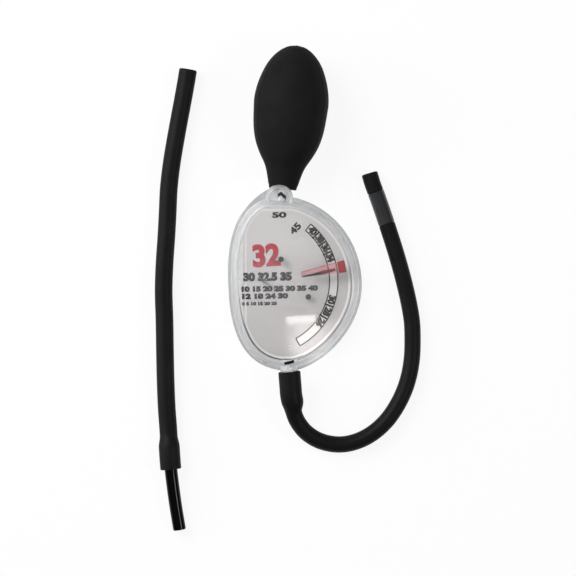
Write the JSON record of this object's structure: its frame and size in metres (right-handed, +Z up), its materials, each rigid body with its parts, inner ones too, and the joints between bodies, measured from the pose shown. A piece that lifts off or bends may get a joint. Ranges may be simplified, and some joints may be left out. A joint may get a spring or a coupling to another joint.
{
  "type": "diesel exhaust fluid hydrometer",
  "caption": "Hand-held dial hydrometer: clear egg-shaped casing with float and pointer, rubber squeeze bulb on top, bent intake hose below, and a loose extension hose.",
  "frame": {"origin": "under the middle of the casing and bulb, on the surface that the tool lies on", "axes": "+X right across the dial, +Y from the inlet towards the squeeze bulb, +Z up out of the dial; the tool lies on its back, resting on the casing's rear edge and the bulb's belly"},
  "size_m": [0.1654, 0.3013, 0.0459],
  "materials": {
    "clear_shell": "clear moulded styrene, polished",
    "dial_grey": "silver-grey printed card, satin",
    "pin_steel": "drawn steel wire",
    "float_pale": "pale moulded plastic",
    "pointer_red": "red see-through moulded plastic",
    "weight_brass": "turned brass, dulled",
    "bulb_rubber": "black moulded rubber, matt",
    "hose_rubber": "black extruded rubber, matt",
    "sleeve_grey": "dark grey shrunk sleeve, satin",
    "tube_black": "black extruded plastic tube, glossy"
  },
  "bodies": {
    "tool_body": {"front_shell": "clear_shell", "rear_shell": "clear_shell", "dial_plate": "dial_grey", "pivot_pin": "pin_steel", "squeeze_bulb": "bulb_rubber", "intake_hose": "hose_rubber", "marker_sleeve": "sleeve_grey"},
    "float_pointer": {"float_vane": "float_pale", "pointer": "pointer_red", "balance_weight_1": "weight_brass", "balance_weight_2": "weight_brass"},
    "extension": {"extension_hose": "hose_rubber", "extension_tube": "tube_black"}
  },
  "joints": [
    {"name": "pointer_swing", "type": "hinge", "parent": "tool_body", "child": "float_pointer", "pos_m": [-0.01905, -0.03867, 0.01747], "axis": [0, -0.0497, 0.9988], "range_deg": [-73, 40]},
    {"name": "extension_lift", "type": "slide", "parent": "tool_body", "child": "extension", "axis": [0, 0, 1], "range_m": [0, 0.15]}
  ]
}
